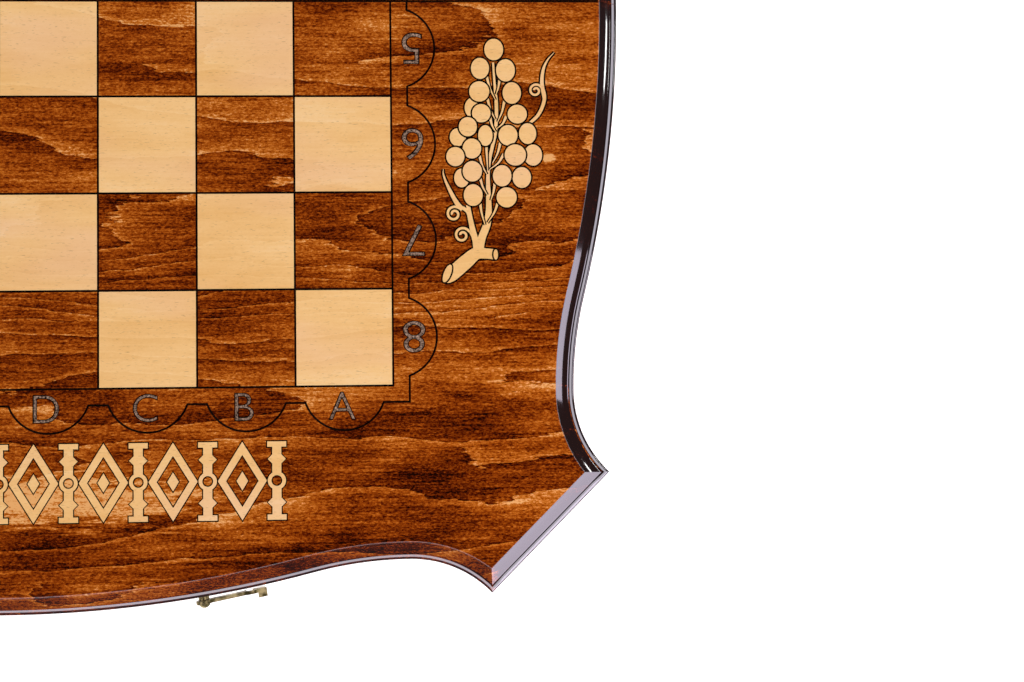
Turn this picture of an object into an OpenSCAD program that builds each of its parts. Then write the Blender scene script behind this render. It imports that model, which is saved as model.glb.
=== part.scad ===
// Folding chess and backgammon board, lying open with the chess side up.
// The origin is the middle of the fold line on the table, +X runs along the fold and +Z is up.
// The near half is at -Y and the far half at +Y. The backgammon fields are inside, facing the table.

/* [Chess field] */
// Side of one chess square
square_size = 47.5; // [46:0.25:48.5]
// Width of the engraved lines
line_w = 1; // [0.6:0.1:1.6]
// Depth of the engraved lines
line_depth = 0.5; // [0.3:0.1:1]
// Distance from the chess field to the scalloped border line
border_offset = 8; // [7:0.25:9]
// Width of one scallop of the border line
scallop_w = 38; // [34:0.5:42]
// Height of one scallop of the border line
scallop_h = 13.5; // [11:0.25:14.5]

/* [Outline] */
// Distance from the middle of the board to the middle of each side
side_reach = 299.5; // [296:0.5:304]
// Length of the straight stretch in the middle of the near and the far side
mid_flat = 7; // [2:0.5:12]
// Radius of the swell on each side
swell_r = 600; // [580:5:620]
// Radius of the hollow between the swell and the waist
hollow_r = 194; // [184:1:204]
// Radius of the flare from the waist out to the pointed corner
flare_r = 56; // [53:0.5:60]
// Distance along a side from the waist to the line of the next side
waist_inset = 106; // [103:0.5:109]
// Distance along a side from the pointed corner to the line of the next side
corner_inset = 65.5; // [63:0.5:68]

/* [Edge moulding] */
// Width of the whole moulding, seen from above
mould_w = 9.2; // [8.5:0.1:10]
// Height of the small step at the inner edge of the moulding
step_h = 0.6; // [0.3:0.1:0.9]
// Radius of the cove
cove_r = 7; // [6.8:0.1:8]
// Radius of the bead along the outer edge
bead_r = 2.8; // [2.4:0.1:3]
// Width by which the bead stops short of turning fully down
edge_lip = 0.25; // [0.2:0.05:0.5]

/* [Panels and rails] */
// Thickness of the face panel with the chess field
panel_t = 9; // [8.6:0.1:12]
// Thickness of the panel with the backgammon fields
field_t = 2.5; // [2:0.1:4]
// Height of the rails
rail_h = 22; // [21:0.5:28]
// Distance by which the face panel stands out past the rails
panel_overhang = 1; // [0.5:0.1:2]
// Least thickness of the outer rails, at the waist
rail_wall = 18.5; // [17:0.5:22]
// Thickness of the rail that carries the hinges
hinge_rail_t = 12; // [11.5:0.25:16]
// Gap between the two halves at the fold line
fold_gap = 0.3; // [0.2:0.05:0.5]
// Gap between the rims of the two halves when the board is shut
rim_gap = 0.3; // [0.2:0.05:0.5]
// Gap around the edge of the backgammon panel
field_clear = 0.2; // [0.1:0.05:0.4]

/* [Hinges] */
// Distance of each hinge from the middle of the fold line
hinge_pos = 150; // [120:1:180]
// Length of a hinge
hinge_len = 50; // [44:1:60]
// Width of a hinge leaf, from the pin to its edge
leaf_w = 10.5; // [10:0.1:11]
// Thickness of a hinge leaf
leaf_t = 0.9; // [0.8:0.05:1.2]
// Outer radius of the knuckles
knuckle_r = 1.8; // [1.7:0.05:2.1]
// Radius of the hinge pin
pin_r = 0.8; // [0.6:0.05:0.9]
// Radial clearance of the pin in the turning leaf
pin_clear = 0.05; // [0.02:0.01:0.1]
// Length of the middle knuckle
mid_knuckle_len = 20; // [14:1:24]
// Gap between neighbouring knuckles
knuckle_gap = 0.15; // [0.1:0.05:0.3]
// Gap between a knuckle and the rails
knuckle_clear = 0.25; // [0.2:0.05:0.4]
// Gap around a leaf in its recess
leaf_clear = 0.1; // [0.05:0.05:0.2]
// Distance between the screws of one leaf
screw_pitch = 18; // [14:0.5:20]
// Head radius of the hinge screws
screw_head_r = 2; // [1.6:0.1:2.3]
// Shank radius of the hinge screws
screw_r = 1; // [0.8:0.1:1.2]
// Length of the hinge screws
screw_len = 9; // [7:0.5:14]

/* [Hook latches] */
// Distance of each latch from the middle of the front rail
latch_pos = 93.5; // [82:0.5:106]
// Height of the hook's pivot above the rim
pivot_rise = 11.5; // [11:0.1:12]
// Width of the plates under the hooks and the studs
plate_w = 9; // [8:0.25:10]
// Length of the plates under the hooks and the studs
plate_len = 18; // [17:0.25:19]
// Thickness of these plates
plate_t = 1; // [0.8:0.1:1.4]
// Radius of the boss that holds the hook off its plate
boss_r = 2.6; // [2.2:0.1:3]
// Height of the boss above its plate
boss_h = 3; // [2.5:0.1:3.6]
// Radius of the rivet and of the stud's neck
stud_r = 1.5; // [1.3:0.05:1.7]
// Radius of the rivet's and the stud's head
stud_head_r = 2.8; // [2.4:0.1:3]
// Height of the rivet's and the stud's head
stud_head_h = 2; // [1.5:0.1:2.4]
// Thickness of the hook
hook_t = 1.8; // [1.4:0.1:2.2]
// Length of the hook from its pivot to its tip
hook_len = 31; // [30:0.25:33]
// Width of the hook's arm
hook_w = 5; // [4.4:0.1:5.4]
// Side gap of the hook on its rivet
hook_gap = 0.2; // [0.1:0.05:0.3]
// Radial clearance of the hook on its rivet
rivet_clear = 0.05; // [0.02:0.01:0.1]
// Radial clearance of the stud in the hook's mouth
mouth_clear = 0.35; // [0.3:0.05:0.5]
// Angle by which the open hook slopes below the horizontal
hook_droop = 20; // [10:1:21]
// Shank radius of the nails in the plates
nail_r = 0.7; // [0.5:0.05:0.8]
// Head radius of the nails in the plates
nail_head_r = 1.4; // [1.2:0.1:1.6]
// Length of the nails
nail_len = 8; // [6:0.5:12]

/* [Hidden] */
$fa = 1.5;
$fs = 0.5;
over = 1;
hinge_z = knuckle_r;
rim_z = hinge_z + rim_gap / 2;
panel_z = rim_z + rail_h;
top_z = panel_z + panel_t;
seam_y = fold_gap / 2;
board_half = 4 * square_size;
// Each quarter of the board is moved out along X by this much
mid_shift = mid_flat / 2;
waist_pos = side_reach - waist_inset;
corner_pos = side_reach - corner_inset;

// The waist's distance from the middle of the board, where swell and hollow meet smoothly
swell_centre = side_reach - swell_r;
hollow_centre = swell_centre + sqrt(pow(swell_r + hollow_r, 2) - pow(waist_pos, 2));
waist_reach = hollow_centre - hollow_r;
tray_half = waist_reach - panel_overhang - rail_wall;
tray_half_x = tray_half + mid_shift;
flare_centre = waist_reach + flare_r;
swell_angle = asin(waist_pos / (swell_r + hollow_r));
// The pointed corner ends in a straight 45 degree cut to its twin on the next side
corner_reach = flare_centre - sqrt(pow(flare_r, 2) - pow(corner_pos - waist_pos, 2));
corner_angle = atan2(corner_reach - flare_centre, corner_pos - waist_pos);
corner_sum = corner_pos + corner_reach;
corner_len = sqrt(2) * (corner_reach - corner_pos);
// Height z runs down from the top face: the cove meets the bead at bead_z
bead_w = bead_r - edge_lip;
cove_w = mould_w - bead_w;
cove_drop = cove_r - sqrt(pow(cove_r, 2) - pow(cove_w, 2));
bead_z = -step_h - cove_drop;
lip_z = bead_z - bead_r + sqrt(pow(bead_r, 2) - pow(bead_w, 2));
// The moulding's cutters run past the ends of their zones by this angle and clear this much outside
sweep_over = 2;
edge_clear = 30;
// Each arc's moulding is cut this much deeper than that of the arc before it, at their joint
joint_ease = 0.03;
// The rim zones run from this far out, clear of the moulding, to beyond the panel's edge
rim_inner = waist_reach - mould_w - 10;
rim_outer = side_reach + over;

// Circle through the ends and the top of a scallop
scallop_r = (pow(scallop_w / 2, 2) + pow(scallop_h, 2)) / (2 * scallop_h);
border_half = board_half + border_offset;

hinge_y = seam_y + hinge_rail_t;
rail_r = swell_r - panel_overhang;
pivot_z = rim_z + pivot_rise;
latch_angle = asin((latch_pos - mid_shift) / rail_r);
stud_reach = 2 * (pivot_z - hinge_z);
hook_z = plate_t + boss_h + hook_gap;
head_z = hook_z + hook_t + hook_gap;
nail_pos = plate_len / 2 - nail_head_r - 0.6;
nail_head_h = 0.5;
mouth_r = stud_r + mouth_clear;
mouth_wall = 2.2;
tab_t = 1.2;
tab_h = 4.4;
tab_len = 4.4;
slot_w = 0.5;
slot_depth = 0.4;

// Half of one side's outline, from the side's middle to the diagonal, drawn in from the true edge by
// inset. The side faces +Y: half of the swell, hollow, waist, flare and half of the 45 degree corner cut.
module half_wedge(inset) {
  joint_x = (swell_r - inset) * sin(swell_angle);
  joint_y = swell_centre + (swell_r - inset) * cos(swell_angle);
  cut_sum = corner_sum - inset * sqrt(2);
  intersection() {
    translate([0, swell_centre]) circle(swell_r - inset);
    polygon([
      [0, 0], [joint_x, joint_x], [joint_x, joint_y], [joint_x, side_reach + over], [0, side_reach + over]
    ]);
  }
  difference() {
    polygon([[joint_x, joint_x], [waist_pos, waist_pos], [waist_pos, joint_y], [joint_x, joint_y]]);
    translate([waist_pos, hollow_centre]) circle(hollow_r + inset);
  }
  difference() {
    polygon([[waist_pos, waist_pos], [cut_sum / 2, cut_sum / 2], [waist_pos, cut_sum - waist_pos]]);
    translate([waist_pos, flare_centre]) circle(flare_r + inset);
  }
}

// What is removed along the panel's edge: x runs in from the edge, y up from the top face.
// All beyond the edge goes, and inside it the hollow form of the bead, the cove and the small step.
module mould_profile() {
  translate([-edge_clear, -panel_t - over]) square([edge_clear, panel_t + 2 * over]);
  difference() {
    translate([0, lip_z]) square([bead_w, over - lip_z]);
    translate([bead_w, bead_z - bead_r]) circle(bead_r);
  }
  intersection() {
    translate([bead_w, bead_z + cove_r]) circle(cove_r);
    translate([bead_w, bead_z]) square([cove_w, over - bead_z]);
  }
}

// x of the plane through the swell's and the hollow's centres
function joint_x(y) = (y - swell_centre) * tan(swell_angle);

// The moulding is swept around the centre of each arc of a side that faces +Y
module swell_cut() {
  translate([0, swell_centre, top_z])
    rotate(90 - swell_angle - sweep_over)
      rotate_extrude(angle = 2 * (swell_angle + sweep_over))
        translate([swell_r, 0]) mirror([1, 0]) mould_profile();
}

module hollow_cut() {
  translate([waist_pos, hollow_centre, top_z - joint_ease])
    rotate(-90 - swell_angle - sweep_over)
      rotate_extrude(angle = swell_angle + 2 * sweep_over)
        translate([hollow_r + joint_ease, 0]) mould_profile();
}

module flare_cut() {
  translate([waist_pos, flare_centre, top_z - 2 * joint_ease])
    rotate(-90 - sweep_over)
      rotate_extrude(angle = 90 + corner_angle + 2 * sweep_over)
        translate([flare_r + 2 * joint_ease, 0]) mould_profile();
}

// The straight moulding along the 45 degree cut, which meets both flares in a mitre
module corner_cut() {
  translate([corner_sum / 2, corner_sum / 2, top_z])
    rotate([90, 0, 45])
      translate([0, 0, -corner_len / 2 - mould_w])
        linear_extrude(corner_len + 2 * mould_w)
          mirror([1, 0]) mould_profile();
}

module panel_prism(points) {
  translate([0, 0, panel_z]) linear_extrude(panel_t) polygon(points);
}

// The rim is made in zones, which meet on planes through the centres of the arcs on either side
module swell_zone(start) {
  difference() {
    panel_prism([
      [start, rim_inner], [joint_x(rim_inner), rim_inner], [joint_x(rim_outer), rim_outer],
      [start, rim_outer]
    ]);
    swell_cut();
  }
}

module hollow_zone() {
  difference() {
    panel_prism([
      [joint_x(rim_inner), rim_inner], [waist_pos, rim_inner], [waist_pos, rim_outer],
      [joint_x(rim_outer), rim_outer]
    ]);
    hollow_cut();
  }
}

// The corner between two waists, with its flares and the straight cut between them
module corner_zone() {
  difference() {
    panel_prism([
      [waist_pos, rim_inner], [rim_inner, waist_pos], [waist_reach + over, waist_pos],
      [corner_reach + over, corner_pos], [corner_pos, corner_reach + over],
      [waist_pos, waist_reach + over]
    ]);
    flare_cut();
    mirror([1, -1, 0]) flare_cut();
    corner_cut();
  }
}

// The straight middle of the near side, its moulding cut deeper at the joints as on the hollow
module mid_zone() {
  difference() {
    panel_prism([
      [-mid_shift, -rim_inner], [mid_shift, -rim_inner], [mid_shift, -rim_outer], [-mid_shift, -rim_outer]
    ]);
    translate([-mid_shift - over, joint_ease - side_reach, top_z - joint_ease])
      rotate([90, 0, 90]) linear_extrude(mid_flat + 2 * over) mould_profile();
  }
}

// The near half of the panel, before any line is engraved
module panel_blank() {
  inner_x = rim_inner + mid_shift;
  waist_x = waist_pos + mid_shift;
  panel_prism([
    [-inner_x, -seam_y], [inner_x, -seam_y], [inner_x, -waist_pos], [waist_x, -rim_inner],
    [-waist_x, -rim_inner], [-inner_x, -waist_pos]
  ]);
  mid_zone();
  for (flip = [0, 1]) {
    mirror([flip, 0, 0])
      translate([mid_shift, 0, 0]) {
        mirror([0, 1, 0]) {
          swell_zone(0);
          hollow_zone();
        }
        rotate(-90) {
          swell_zone(seam_y);
          hollow_zone();
          corner_zone();
        }
      }
  }
}

// Engraved lines of the near half's chess field
module field_lines() {
  for (i = [-4:4]) {
    translate([i * square_size - line_w / 2, -board_half - line_w / 2])
      square([line_w, board_half + line_w]);
  }
  for (i = [1:4]) {
    translate([-board_half - line_w / 2, -i * square_size - line_w / 2])
      square([2 * board_half + line_w, line_w]);
  }
}

// One bay of the border line, centred on x = 0: two short straights and a scallop towards -Y
module border_bay() {
  ring_y = scallop_r - scallop_h;
  for (flip = [0, 1]) {
    mirror([flip, 0])
      translate([scallop_w / 2 - line_w / 2, -line_w / 2])
        square([(square_size - scallop_w) / 2 + line_w / 2, line_w]);
  }
  intersection() {
    difference() {
      translate([0, ring_y]) circle(scallop_r + line_w / 2);
      translate([0, ring_y]) circle(scallop_r - line_w / 2);
    }
    translate([-square_size, -square_size]) square([2 * square_size, square_size + line_w / 2]);
  }
}

// Scalloped border line along the front of the near half and up both of its sides
module border_line() {
  for (i = [-4:3]) {
    translate([(i + 0.5) * square_size, -border_half]) border_bay();
  }
  for (side = [-1, 1]) {
    for (i = [0:3]) {
      translate([side * border_half, -(i + 0.5) * square_size]) rotate(side * 90) border_bay();
    }
    translate([side * (board_half + border_half) / 2, -border_half])
      square([border_offset + line_w, line_w], center = true);
    translate([side * border_half, -(board_half + border_half) / 2])
      square([line_w, border_offset + line_w], center = true);
  }
}

module face_panel() {
  difference() {
    panel_blank();
    translate([0, 0, top_z - line_depth]) linear_extrude(line_depth + over) field_lines();
    translate([0, 0, top_z - line_depth]) linear_extrude(line_depth + over) border_line();
  }
}

module field_panel() {
  depth = tray_half - hinge_y - 2 * field_clear;
  translate([-tray_half_x + field_clear, -tray_half + field_clear, panel_z - field_t])
    cube([2 * (tray_half_x - field_clear), depth, field_t]);
}

// The near side's outline as far as both diagonals, with the straight stretch in its middle
module front_outline(inset) {
  for (flip = [0, 1]) {
    mirror([flip, 0]) translate([mid_shift, 0]) mirror([0, 1]) half_wedge(inset);
  }
  translate([-mid_shift, inset - side_reach]) square([mid_flat, side_reach - inset]);
}

// Front rail, mitred at both ends, with the nail holes of the two latches
module front_rail() {
  difference() {
    translate([0, 0, rim_z])
      linear_extrude(rail_h)
        difference() {
          front_outline(panel_overhang);
          square([2 * tray_half_x, 2 * tray_half], center = true);
        }
    for (side = [-1, 1]) at_latch(side) nail_shanks();
  }
}

// Side rail of the near half towards +X: mitred at the front, square at the fold
module side_rail() {
  translate([0, 0, rim_z])
    linear_extrude(rail_h)
      difference() {
        translate([mid_shift, 0]) rotate(-90) half_wedge(panel_overhang);
        square([2 * tray_half_x, 2 * tray_half], center = true);
        translate([0, -seam_y]) square([2 * side_reach, 2 * side_reach]);
      }
}

// Rail along the fold, with a recess for each hinge leaf, room for the knuckles and screw holes
module hinge_rail() {
  difference() {
    translate([-tray_half_x, -hinge_y, rim_z]) cube([2 * tray_half_x, hinge_rail_t, rail_h]);
    for (side = [-1, 1]) {
      translate([side * hinge_pos, 0, 0]) {
        translate([-hinge_len / 2 - leaf_clear, -leaf_w - leaf_clear, rim_z - over])
          cube([hinge_len + 2 * leaf_clear, leaf_w + over, leaf_t + over]);
        translate([-hinge_len / 2 - knuckle_gap - pin_r, 0, hinge_z])
          rotate([0, 90, 0])
            cylinder(h = hinge_len + 2 * (knuckle_gap + pin_r), r = knuckle_r + knuckle_clear);
        screw_places() cylinder(h = screw_len, r = screw_r);
      }
    }
  }
}

// Places for the three screws of a leaf, each starting at the leaf's outer face
module screw_places() {
  screw_y = -(leaf_w + knuckle_r) / 2;
  for (i = [-1:1]) translate([i * screw_pitch, screw_y, rim_z]) children();
}

// Head and shank of a countersunk screw, pointing up from the leaf's outer face
module screw_form(ease) {
  cylinder(h = leaf_t, r1 = screw_head_r - ease, r2 = screw_r);
  cylinder(h = screw_len, r = screw_r);
}

module hinge_screws() {
  for (side = [-1, 1]) {
    translate([side * hinge_pos, 0, 0]) {
      screw_places() {
        difference() {
          screw_form(leaf_clear);
          translate([-screw_head_r, -slot_w / 2, -over])
            cube([2 * screw_head_r, slot_w, slot_depth + over]);
        }
      }
    }
  }
}

// A hinge leaf towards -Y with the given knuckle spans, each [start, length] along X
module hinge_leaf(spans, bore_r) {
  plate_edge = knuckle_r + knuckle_clear;
  difference() {
    union() {
      translate([-hinge_len / 2, -leaf_w, rim_z]) cube([hinge_len, leaf_w - plate_edge, leaf_t]);
      for (span = spans) {
        translate([span[0], -plate_edge - over, rim_z]) cube([span[1], plate_edge + over, leaf_t]);
        translate([span[0], 0, hinge_z]) rotate([0, 90, 0]) cylinder(h = span[1], r = knuckle_r);
      }
    }
    translate([-hinge_len, 0, hinge_z]) rotate([0, 90, 0]) cylinder(h = 2 * hinge_len, r = bore_r);
    screw_places() screw_form(0);
  }
}

// The near leaf has the two outer knuckles and holds the pin
module near_leaf() {
  outer_len = (hinge_len - mid_knuckle_len) / 2 - knuckle_gap;
  hinge_leaf([[-hinge_len / 2, outer_len], [hinge_len / 2 - outer_len, outer_len]], pin_r);
}

// The far leaf has the middle knuckle, which turns on the pin
module far_leaf() {
  rotate(180) hinge_leaf([[-mid_knuckle_len / 2, mid_knuckle_len]], pin_r + pin_clear);
}

// Hinge pin with its two ends peened over a little
module hinge_pin() {
  peen_h = pin_r / 2;
  translate([-hinge_len / 2, 0, hinge_z]) rotate([0, 90, 0]) {
    cylinder(h = hinge_len, r = pin_r);
    translate([0, 0, -peen_h]) cylinder(h = peen_h, r1 = pin_r, r2 = 1.4 * pin_r);
    translate([0, 0, hinge_len]) cylinder(h = peen_h, r1 = 1.4 * pin_r, r2 = pin_r);
  }
}

// Frame of a latch on the near front rail: z points out of the wall, y up, origin at the pivot
module at_latch(side) {
  translate([side * latch_pos, -swell_centre - rail_r * cos(latch_angle), pivot_z])
    rotate([90, 0, side * latch_angle])
      children();
}

module latch_plate() {
  straight = plate_len - plate_w;
  linear_extrude(plate_t)
    difference() {
      union() {
        square([plate_w, straight], center = true);
        for (end = [-1, 1]) translate([0, end * straight / 2]) circle(plate_w / 2);
      }
      circle(stud_r);
      for (end = [-1, 1]) translate([0, end * nail_pos]) circle(nail_r);
    }
}

// Plate with the drawn-up boss on which the hook turns
module hook_plate() {
  latch_plate();
  translate([0, 0, plate_t]) linear_extrude(boss_h) difference() {
    circle(boss_r);
    circle(stud_r);
  }
}

// Neck and domed head of the hook's rivet and of the catch stud
module stud() {
  dome_r = (pow(stud_head_r, 2) + pow(stud_head_h, 2)) / (2 * stud_head_h);
  cylinder(h = head_z, r = stud_r);
  intersection() {
    translate([0, 0, head_z + stud_head_h - dome_r]) sphere(dome_r);
    translate([0, 0, head_z]) cylinder(h = stud_head_h + over, r = stud_head_r + over);
  }
}

module nail_shanks() {
  for (end = [-1, 1]) {
    translate([0, end * nail_pos, plate_t - nail_len]) cylinder(h = nail_len, r = nail_r);
  }
}

module plate_nails() {
  nail_shanks();
  for (end = [-1, 1]) {
    translate([0, end * nail_pos, plate_t]) cylinder(h = nail_head_h, r1 = nail_head_r, r2 = nail_r);
  }
}

// Hook along +X from its pivot, its mouth open towards -Y. At the tip its upper edge is turned out as
// a finger tab.
// The mouth is part of a ring about the pivot, so the stud enters it as the hook swings.
module hook_form() {
  mouth_out = mouth_r + mouth_wall;
  difference() {
    union() {
      linear_extrude(hook_t) {
        circle(hook_w / 2 + 1.5);
        translate([0, -hook_w / 2]) square([hook_len, hook_w]);
        translate([stud_reach, 0]) circle(mouth_out);
      }
      translate([hook_len - tab_len, hook_w / 2 - tab_t, 0]) cube([tab_len, tab_t, tab_h]);
    }
    translate([0, 0, -over]) linear_extrude(hook_t + 2 * over) {
      circle(stud_r + rivet_clear);
      translate([stud_reach, 0]) circle(mouth_r);
      intersection() {
        difference() {
          circle(stud_reach + mouth_r);
          circle(stud_reach - mouth_r);
        }
        translate([0, -mouth_out - over]) square([hook_len, mouth_out + over]);
      }
    }
  }
}

module hook(side) {
  at_latch(side) translate([0, 0, hook_z]) rotate(-hook_droop) hook_form();
}

color("sienna") face_panel();  // near_face_panel
color("burlywood") field_panel();  // near_field_panel
color("saddlebrown") front_rail();  // near_front_rail
color("saddlebrown") mirror([1, 0, 0]) side_rail();  // near_left_rail
color("saddlebrown") side_rail();  // near_right_rail
color("saddlebrown") hinge_rail();  // near_hinge_rail
color("sienna") rotate(180) face_panel();  // far_face_panel
color("burlywood") rotate(180) field_panel();  // far_field_panel
color("saddlebrown") rotate(180) front_rail();  // far_front_rail
color("saddlebrown") rotate(180) side_rail();  // far_left_rail
color("saddlebrown") rotate(180) mirror([1, 0, 0]) side_rail();  // far_right_rail
color("saddlebrown") rotate(180) hinge_rail();  // far_hinge_rail
color("gold") translate([-hinge_pos, 0, 0]) near_leaf();  // left_hinge_near_leaf
color("gold") translate([-hinge_pos, 0, 0]) far_leaf();  // left_hinge_far_leaf
color("gold") translate([-hinge_pos, 0, 0]) hinge_pin();  // left_hinge_pin
color("gold") translate([hinge_pos, 0, 0]) near_leaf();  // right_hinge_near_leaf
color("gold") translate([hinge_pos, 0, 0]) far_leaf();  // right_hinge_far_leaf
color("gold") translate([hinge_pos, 0, 0]) hinge_pin();  // right_hinge_pin
color("gold") hinge_screws();  // near_hinge_screws
color("gold") rotate(180) hinge_screws();  // far_hinge_screws
color("gold") hook(-1);  // left_hook
color("gold") at_latch(-1) hook_plate();  // left_hook_plate
color("gold") at_latch(-1) stud();  // left_hook_rivet
color("gold") hook(1);  // right_hook
color("gold") at_latch(1) hook_plate();  // right_hook_plate
color("gold") at_latch(1) stud();  // right_hook_rivet
color("gold") rotate(180) at_latch(1) latch_plate();  // left_catch_plate
color("gold") rotate(180) at_latch(1) stud();  // left_catch_stud
color("gold") rotate(180) at_latch(-1) latch_plate();  // right_catch_plate
color("gold") rotate(180) at_latch(-1) stud();  // right_catch_stud
color("gold") for (side = [-1, 1]) at_latch(side) plate_nails();  // hook_plate_nails
color("gold") rotate(180) for (side = [-1, 1]) at_latch(side) plate_nails();  // catch_plate_nails
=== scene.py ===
import bmesh
import bpy
import numpy as np
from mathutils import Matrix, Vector
from mathutils.geometry import delaunay_2d_cdt


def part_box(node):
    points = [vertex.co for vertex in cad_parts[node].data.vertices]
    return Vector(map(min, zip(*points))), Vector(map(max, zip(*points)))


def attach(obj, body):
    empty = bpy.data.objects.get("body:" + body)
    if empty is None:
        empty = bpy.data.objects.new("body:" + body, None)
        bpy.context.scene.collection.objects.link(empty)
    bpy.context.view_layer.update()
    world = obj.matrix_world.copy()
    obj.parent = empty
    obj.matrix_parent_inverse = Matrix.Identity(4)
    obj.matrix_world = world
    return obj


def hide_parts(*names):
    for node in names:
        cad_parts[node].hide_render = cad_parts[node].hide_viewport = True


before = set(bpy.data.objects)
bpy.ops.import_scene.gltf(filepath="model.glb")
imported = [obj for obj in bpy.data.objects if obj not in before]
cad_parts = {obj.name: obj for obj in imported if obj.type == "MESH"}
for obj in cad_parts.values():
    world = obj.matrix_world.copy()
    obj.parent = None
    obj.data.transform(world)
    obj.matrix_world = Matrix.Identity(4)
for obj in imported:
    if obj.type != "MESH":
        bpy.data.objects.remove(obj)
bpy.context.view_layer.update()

root2 = np.sqrt(2.0)
# lowest and highest level of the face panels, and how far they stay from the fold, in millimetres
panelBox = [np.array(corner) * 1000 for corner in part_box("near_face_panel")]
panelLow, panelTop, seam = panelBox[0][2], panelBox[1][2], -panelBox[1][1]
print("frame loaded")


# helpers that add nodes to a tree

def addNode(tree, kind, inputs=None, **settings):
    new = tree.nodes.new("ShaderNode" + kind)
    for key, value in settings.items():
        setattr(new, key, value)
    for key, value in (inputs or {}).items():
        if isinstance(value, bpy.types.NodeSocket):
            tree.links.new(value, new.inputs[key])
        else:
            new.inputs[key].default_value = value
    return new


def mathNode(tree, operation, first, second=0.0, third=0.0):
    return addNode(tree, "Math", {0: first, 1: second, 2: third}, operation=operation).outputs[0]


def mixColour(tree, amount, first, second):
    return addNode(tree, "Mix", {0: amount, 6: first, 7: second}, data_type="RGBA").outputs[2]


def rampNode(tree, value, stops):
    # stops: (position, grey value or colour)
    node = addNode(tree, "ValToRGB", {0: value})
    ramp = node.color_ramp
    while len(ramp.elements) < len(stops):
        ramp.elements.new(0.5)
    for element, (position, colour) in zip(ramp.elements, stops):
        element.position = position
        rgb = (colour, colour, colour) if isinstance(colour, (int, float)) else colour
        element.color = (*rgb, 1.0)
    return node.outputs[0]


def newGroup(name, inputs, outputs):
    tree = bpy.data.node_groups.new(name, "ShaderNodeTree")
    for label, kind, value in inputs:
        socket = tree.interface.new_socket(label, in_out="INPUT", socket_type="NodeSocket" + kind)
        if value is not None:
            socket.default_value = value
    for label, kind in outputs:
        tree.interface.new_socket(label, in_out="OUTPUT", socket_type="NodeSocket" + kind)
    return tree, tree.nodes.new("NodeGroupInput"), tree.nodes.new("NodeGroupOutput")


def placeGroup(tree, group, inputs):
    node = tree.nodes.new("ShaderNodeGroup")
    node.node_tree = group
    for key, value in inputs.items():
        if isinstance(value, bpy.types.NodeSocket):
            tree.links.new(value, node.inputs[key])
        else:
            node.inputs[key].default_value = value
    return node


def newMaterial(name):
    material = bpy.data.materials.new(name)
    material.use_nodes = True
    tree = material.node_tree
    return material, tree, tree.nodes["Principled BSDF"]


# beech figure: growth rings of flat-sawn staves glued edge to edge, grain along X

def spreadNoise(tree, x, y, z, scales, detail, roughness=0.5):
    # noise stretched by its own scale along each axis and spread to about -1 to 1
    place = addNode(tree, "CombineXYZ", {i: mathNode(tree, "MULTIPLY", part, scale)
                                         for i, (part, scale) in enumerate(zip((x, y, z), scales))})
    noise = addNode(tree, "TexNoise", {"Vector": place.outputs[0], "Scale": 1.0, "Detail": detail,
                                       "Roughness": roughness})
    return mathNode(tree, "MULTIPLY_ADD", noise.outputs["Fac"], 5.0, -2.5)


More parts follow.
